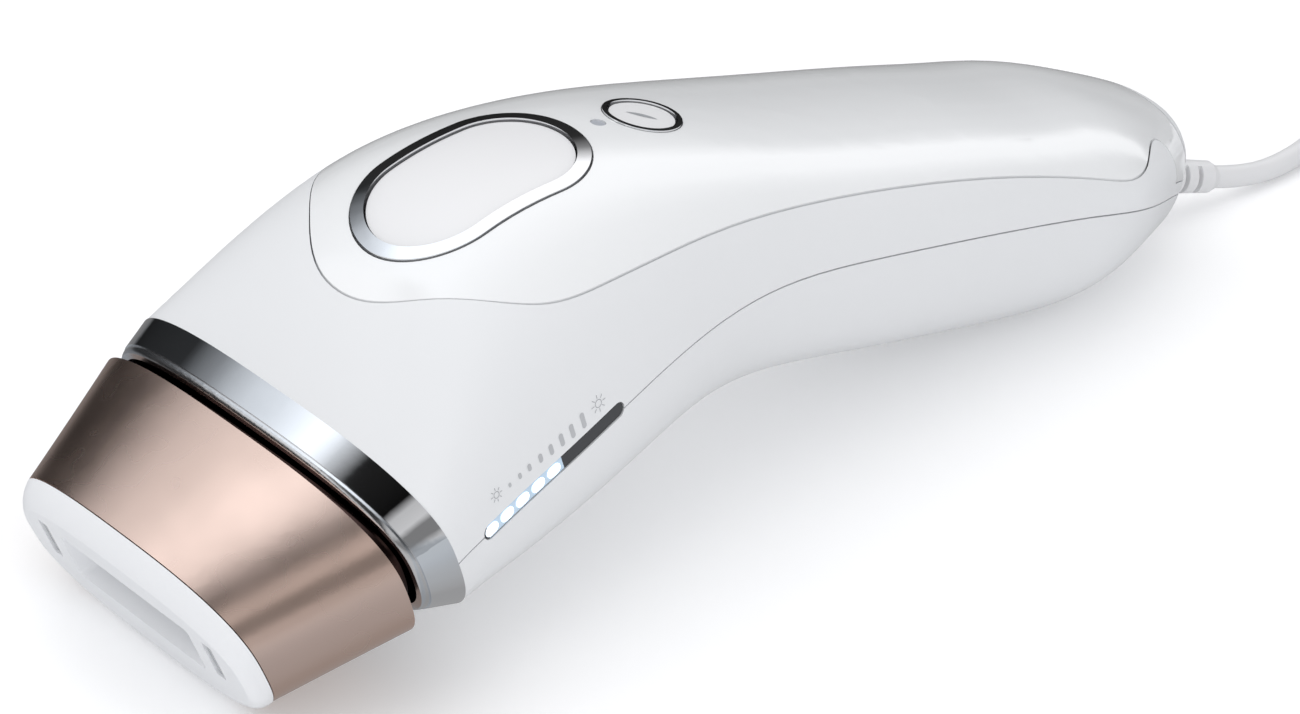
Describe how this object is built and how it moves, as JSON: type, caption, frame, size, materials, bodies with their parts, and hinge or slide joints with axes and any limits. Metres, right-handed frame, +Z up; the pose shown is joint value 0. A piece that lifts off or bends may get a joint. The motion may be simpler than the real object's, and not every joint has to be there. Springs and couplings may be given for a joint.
{
  "type": "ipl hair remover",
  "caption": "Corded handheld light hair remover: arched white body, chrome ring, rose-coloured pull-off head with a flash window, level lights, and a coiled lead with its power adapter.",
  "frame": {"origin": "middle of the device's outline on the table it lies on, without the cord", "axes": "+X from the treatment head to the tail, +Z up, -Y the side seen first"},
  "size_m": [0.3045, 0.0981, 0.0575],
  "materials": {
    "satin_white": "satin",
    "gloss_white": "gloss",
    "satin_rose": "satin",
    "gloss_bronze": "gloss",
    "chrome_trim": "polished",
    "smoked_lens": "gloss",
    "clear_glass": "polished",
    "bright_reflector": "polished",
    "black_plastic": "matte",
    "green_board": "satin",
    "dark_sleeve": "satin",
    "copper_wire": "satin",
    "grey_silicone": "matte",
    "cord_white": "satin",
    "nickel_pin": "satin"
  },
  "bodies": {
    "device": {"lower_shell": "satin_white", "upper_shell": "satin_white", "top_cover": "gloss_white", "head_ring": "chrome_trim", "ring_lip": "chrome_trim", "lamp_holder": "black_plastic", "neck_frame": "black_plastic", "reflector": "bright_reflector", "flash_lamp": "clear_glass", "lamp_electrodes": "nickel_pin", "trigger_bezel": "chrome_trim", "mode_rim": "chrome_trim", "status_light": "smoked_lens", "trigger_board": "green_board", "mode_board": "green_board", "trigger_switch": "black_plastic", "mode_switch": "black_plastic", "trigger_domes": "grey_silicone", "level_lens_left": "smoked_lens", "level_lens_right": "smoked_lens", "level_board_left": "green_board", "level_board_right": "green_board", "main_board": "green_board", "flash_capacitor": "dark_sleeve", "trigger_transformer": "black_plastic", "charge_coil": "copper_wire", "fan_frame": "black_plastic", "strain_relief": "cord_white", "power_cord": "cord_white", "adapter_lead": "cord_white", "cord_coil": "cord_white", "cord_tie": "black_plastic", "adapter_body": "gloss_white", "adapter_pins": "nickel_pin", "adapter_boot": "cord_white"},
    "treatment_head": {"head_collar": "gloss_bronze", "head_housing": "satin_rose", "face_cap": "satin_white", "window_filter": "clear_glass", "skin_sensors": "smoked_lens"},
    "flash_button": {"trigger_button": "satin_white"},
    "mode_key": {"mode_button": "satin_white"},
    "rotor": {"fan_rotor": "black_plastic"}
  },
  "joints": [
    {"name": "head_pull_off", "type": "slide", "parent": "device", "child": "treatment_head", "axis": [-0.9537, 0, -0.3007], "range_m": [0, 0.02]},
    {"name": "flash_button_press", "type": "slide", "parent": "device", "child": "flash_button", "axis": [0.1392, 0, -0.9903], "range_m": [0, 0.0012], "stiffness_N_per_m": 900, "springref_m": -0.001},
    {"name": "mode_key_press", "type": "slide", "parent": "device", "child": "mode_key", "axis": [-0.2334, 0, -0.9724], "range_m": [0, 0.0006], "stiffness_N_per_m": 900, "springref_m": -0.001},
    {"name": "fan_spin", "type": "hinge", "parent": "device", "child": "rotor", "pos_m": [-0.017, 0, 0.0314], "axis": [0.9976, 0, 0.0698], "continuous": true}
  ]
}
